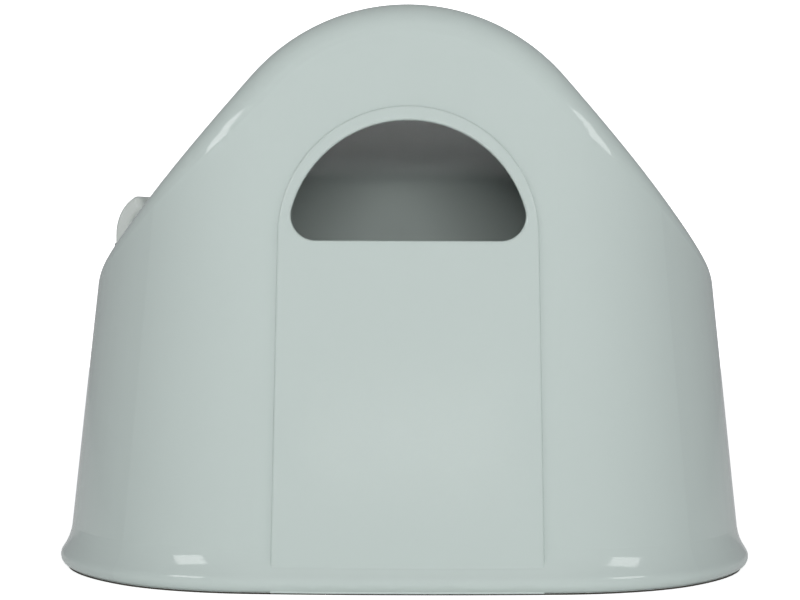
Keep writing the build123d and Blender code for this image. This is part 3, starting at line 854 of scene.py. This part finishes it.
@dataclass
class FilterWindow:
    """The filter window in the back wall: charcoal pad, frame screws and the door's knob.

    Attributes:
        lean: Lean of the back wall, in degrees.
        level: Height of the window's middle.
        wall_y: The wall's outer face at that height.
        screw_x: Screws from the middle, across.
        screw_y: Screws from the middle, up the wall.
        screw_seat: How far the screws' seat stands out from the wall.
        pad_crown: Depth of the pad's quilting.
        quilt: Pitch of the quilting.
    """

    lean: float = 6.0
    level: float = 235 * MM
    wall_y: float = 233.8 * MM
    screw_x: float = 62 * MM
    screw_y: float = 21 * MM
    screw_seat: float = 1.98 * MM
    pad_crown: float = 0.9 * MM
    quilt: float = 15 * MM

    def _normal(self) -> Vector:
        """The direction out of the back wall."""
        return Vector((0, math.cos(math.radians(self.lean)), math.sin(math.radians(self.lean))))

    def _spot(self, across: float, up: float, stand: float) -> Vector:
        """A place on the back wall, from the window's middle.

        Args:
            across: Distance across, along X.
            up: Distance up the wall.
            stand: Distance out of the wall.

        Returns:
            The place in the shared frame.
        """
        normal = self._normal()
        upward = Vector((0, -normal.z, normal.y))
        return Vector((across, self.wall_y, self.level)) + upward * up + normal * stand

    def build_screws(self, wardrobe: Wardrobe) -> None:
        """Model one frame screw and set it at the frame's four corners."""
        first = Screw().build("frame_screw")
        places = [(side * self.screw_x, step * self.screw_y) for side in (-1, 1) for step in (-1, 1)]
        screws = []
        for number, (across, up) in enumerate(places):
            screw = copy_of(first, f"frame_screw_{number}")
            slant = Vector((math.cos(number * 1.3), 0, math.sin(number * 1.3)))
            screws.append(place(screw, self._spot(across, up, self.screw_seat), slant, self._normal()))
        bpy.data.objects.remove(first)
        hand_over(join_all("frame_screws_domed", screws), "hood", STEEL, wardrobe, "frame_screws")

    def build_pad(self, wardrobe: Wardrobe) -> None:
        """Model the charcoal pad: a thin crowned block of felt with a quilted face."""
        size = (103.0 * MM, 63.4 * MM, 9.4 * MM)
        pad = add_to_new_object("carbon_pad", bpy.ops.mesh.primitive_cube_add, size=1, location=(0, 0, 0))
        pad.scale = size
        settle(pad)

        def work() -> None:
            bpy.ops.mesh.select_all(action="SELECT")
            bpy.ops.mesh.bevel(offset=1.6 * MM, segments=3)
            bpy.ops.mesh.select_all(action="SELECT")
            for axis, count, span in ((0, 66, size[0]), (1, 40, size[1])):
                normal = tuple(1.0 if index == axis else 0.0 for index in range(3))
                for step in range(1, count):
                    spot = [0.0, 0.0, 0.0]
                    spot[axis] = -span / 2 + span * step / count
                    bpy.ops.mesh.select_all(action="SELECT")
                    bpy.ops.mesh.bisect(plane_co=spot, plane_no=normal)

        edit(pad, work)
        for vertex in pad.data.vertices:
            x, y, z = vertex.co
            edge = min(size[0] / 2 - abs(x), size[1] / 2 - abs(y))
            slants = (x + y, x - y)
            diamond = min(abs(math.sin(math.pi * slant / self.quilt)) for slant in slants)
            sink = self.pad_crown * (1 - min(1.0, diamond * 2.2)) if edge > 2 * MM else 0.0
            if abs(z) > size[2] / 2 - 0.5 * MM:
                vertex.co.z -= math.copysign(sink, z)
        outward(pad)
        smooth(pad, 60)
        place(pad, self._spot(0, 0, -10 * MM), Vector((-1, 0, 0)), self._normal())
        hand_over(pad, "hood", FELT, wardrobe, "carbon_filter")

    def build_knob(self, wardrobe: Wardrobe) -> None:
        """Model the door's fluted knob."""
        low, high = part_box("cover_knob")
        radius = 6.9 * MM
        knob = add_to_new_object("cover_knob_fluted", bpy.ops.mesh.primitive_cylinder_add, vertices=72,
                                 radius=radius, depth=6.6 * MM, location=(0, 0, 3.3 * MM))
        settle(knob)
        for vertex in knob.data.vertices:
            angle = math.atan2(vertex.co.y, vertex.co.x)
            draw = 1 - 0.075 * (0.5 + 0.5 * math.cos(12 * angle)) - (0.05 if vertex.co.z < MM else 0.0)
            vertex.co.x *= draw
            vertex.co.y *= draw
        pick_faces(knob, lambda face: face.normal.z > 0.9)

        def top() -> None:
            bpy.ops.mesh.bevel(offset=1.3 * MM, segments=4)

        edit(knob, top)
        pick_faces(knob, lambda face: face.normal.z > 0.99)

        def dimple() -> None:
            bpy.ops.mesh.inset(thickness=1.2 * MM)
            bpy.ops.mesh.inset(thickness=0.6 * MM, depth=-0.5 * MM)
            bpy.ops.mesh.inset(thickness=0.8 * MM, depth=-0.1 * MM)

        edit(knob, dimple)
        smooth(knob, 35)
        middle = (low + high) / 2
        rise = (middle.z - self.level) / math.cos(math.radians(self.lean))
        place(knob, self._spot(0, rise, 9.05 * MM), Vector((1, 0, 0)), self._normal())
        hand_over(knob, "cover", SHELL, wardrobe, "cover_knob")

    def build(self, wardrobe: Wardrobe) -> None:
        """Model every piece of the window.

        Args:
            wardrobe: Where the materials come from.
        """
        self.build_screws(wardrobe)
        self.build_pad(wardrobe)
        self.build_knob(wardrobe)


SOFT_EDGED: list[SoftEdges] = [
    SoftEdges("filter_cover", "cover", TRIM),
    SoftEdges("scoop_bracket", "hood", TRIM),
    SoftEdges("scatter_rim", "rim", RIM),
    SoftEdges("litter_pan", "pan", PAN, width=0.5 * MM),
    SoftEdges("handle_dish", "hood", TRIM, width=0.5 * MM),
]


# ---------------------------------------------------------------- studio


@dataclass
class Studio:
    """The pale floor, the backdrop, the soft lights and the camera.

    Attributes:
        floor_size: Side of the square floor, in metres.
        wall_distance: How far the backdrop stands behind the object.
        wall_width: Width of the backdrop.
        wall_height: Height of the backdrop above the floor.
        bounce: How much the floor and backdrop light the object.
        floor_glow: How much brighter the floor looks to the camera.
        wall_glow: How much brighter the backdrop looks to the camera.
        surround: Strength of the even surroundings.
        target: Height that the lights are aimed at.
        eye: The camera's place.
        turn: The camera's turn to the right, in degrees.
        dip: The camera's dip below level, in degrees.
        roll: The camera's roll, in degrees.
        lens: Focal length on a 36 mm sensor, in millimetres.
        lights: Each light's name, place, width, height and power in watts.
    """

    floor_size: float = 16.0
    wall_distance: float = 5.0
    wall_width: float = 2.8
    wall_height: float = 1.6
    bounce: float = 0.12
    floor_glow: float = 0.62
    wall_glow: float = 1.0
    surround: float = 0.34
    target: float = 0.25
    eye: tuple[float, float, float] = (-0.0245, -2.380, 0.2666)
    turn: float = 0.469
    dip: float = 0.517
    roll: float = 0.2
    lens: float = 114.08
    lights: list[LightSpec] = field(default_factory=lambda: [
        ("left_softbox", (-2.5, -1.75, 1.6), 1.1, 0.9, 11.0),
        ("right_softbox", (2.5, -1.65, 1.65), 1.1, 0.9, 10.0),
        ("key_softbox", (0.05, -3.1, 0.55), 1.0, 0.22, 33.0),
        ("high_softbox", (0.0, -2.6, 3.3), 2.6, 1.4, 2.0),
    ])

    def _white(self, name: str, glow: float) -> bpy.types.Material:
        """A plain white sweep that looks evenly white, and lights the object only a little.

        Args:
            name: The material's name.
            glow: How much it glows where it is seen straight.

        Returns:
            The material.
        """
        made = bpy.data.materials.new(name)
        made.use_nodes = True
        tree = made.node_tree
        shader = tree.nodes["Principled BSDF"]
        shader.inputs["Base Color"].default_value = (0.82, 0.82, 0.82, 1)
        shader.inputs["Roughness"].default_value = 0.6
        shader.inputs["Specular IOR Level"].default_value = 0.2
        shader.inputs["Emission Color"].default_value = (1, 1, 1, 1)
        seen = add_node(tree, "ShaderNodeLightPath").outputs["Is Camera Ray"]
        strength = math_node(tree, "ADD", math_node(tree, "MULTIPLY", seen, glow), self.bounce)
        tree.links.new(strength, shader.inputs["Emission Strength"])
        return made

    def build_sweep(self) -> None:
        """Make the floor and the wall behind it."""
        deselect_all()
        bpy.ops.mesh.primitive_plane_add(size=self.floor_size)
        floor = bpy.context.object
        floor.name = "floor"
        floor.data.materials.append(self._white("floor_white", self.floor_glow))
        deselect_all()
        bpy.ops.mesh.primitive_plane_add(size=1, location=(0, self.wall_distance, 0))
        backdrop = bpy.context.object
        backdrop.name = "backdrop"
        backdrop.scale = (self.wall_width, self.wall_height * 2, 1)
        backdrop.rotation_euler = (math.radians(90), 0, 0)
        settle(backdrop)
        backdrop.data.materials.append(self._white("backdrop_white", self.wall_glow))

    def build_lights(self) -> None:
        """Make the even surroundings and the softboxes, each aimed at the hood."""
        world = bpy.data.worlds.new("studio")
        world.use_nodes = True
        world.node_tree.nodes["Background"].inputs["Color"].default_value = (0.95, 0.98, 1.0, 1)
        world.node_tree.nodes["Background"].inputs["Strength"].default_value = self.surround
        bpy.context.scene.world = world
        for name, spot, size_x, size_y, power in self.lights:
            data = bpy.data.lights.new(name, "AREA")
            data.shape = "RECTANGLE"
            data.size, data.size_y, data.energy = size_x, size_y, power
            lamp = bpy.data.objects.new(name, data)
            bpy.context.scene.collection.objects.link(lamp)
            lamp.location = spot
            lamp.visible_glossy = name != "key_softbox"
            towards = Vector((0, 0, self.target)) - Vector(spot)
            lamp.rotation_euler = towards.to_track_quat("-Z", "Y").to_euler()

    def build_camera(self) -> None:
        """Make the camera, almost level and straight on."""
        data = bpy.data.cameras.new("camera")
        data.lens = self.lens
        data.sensor_width = 36.0
        data.clip_end = 50.0
        camera = bpy.data.objects.new("camera", data)
        bpy.context.scene.collection.objects.link(camera)
        camera.location = self.eye
        heading = Matrix.Rotation(math.radians(-self.turn), 4, "Z")
        pitch = Matrix.Rotation(math.radians(90 - self.dip), 4, "X")
        roll = Matrix.Rotation(math.radians(self.roll), 4, "Z")
        camera.rotation_euler = (heading @ pitch @ roll).to_euler()
        bpy.context.scene.camera = camera

    def build(self) -> None:
        """Make the whole studio."""
        self.build_sweep()
        self.build_lights()
        self.build_camera()
        bpy.context.scene.view_settings.view_transform = "Standard"
        LOG.info("studio ready")


def main() -> None:
    """Build and dress everything in order."""
    logging.basicConfig(level=logging.INFO, format="%(name)s: %(message)s")
    wardrobe = Wardrobe()
    Studio().build()
    for node, finish in NODE_FINISHES.items():
        wardrobe.dress_node(node, finish)
    CarryHandle().build(wardrobe)
    Scoop().build(wardrobe)
    FilterWindow().build(wardrobe)
    for moulding in SOFT_EDGED:
        moulding.build(wardrobe)


if __name__ == "__main__":
    main()
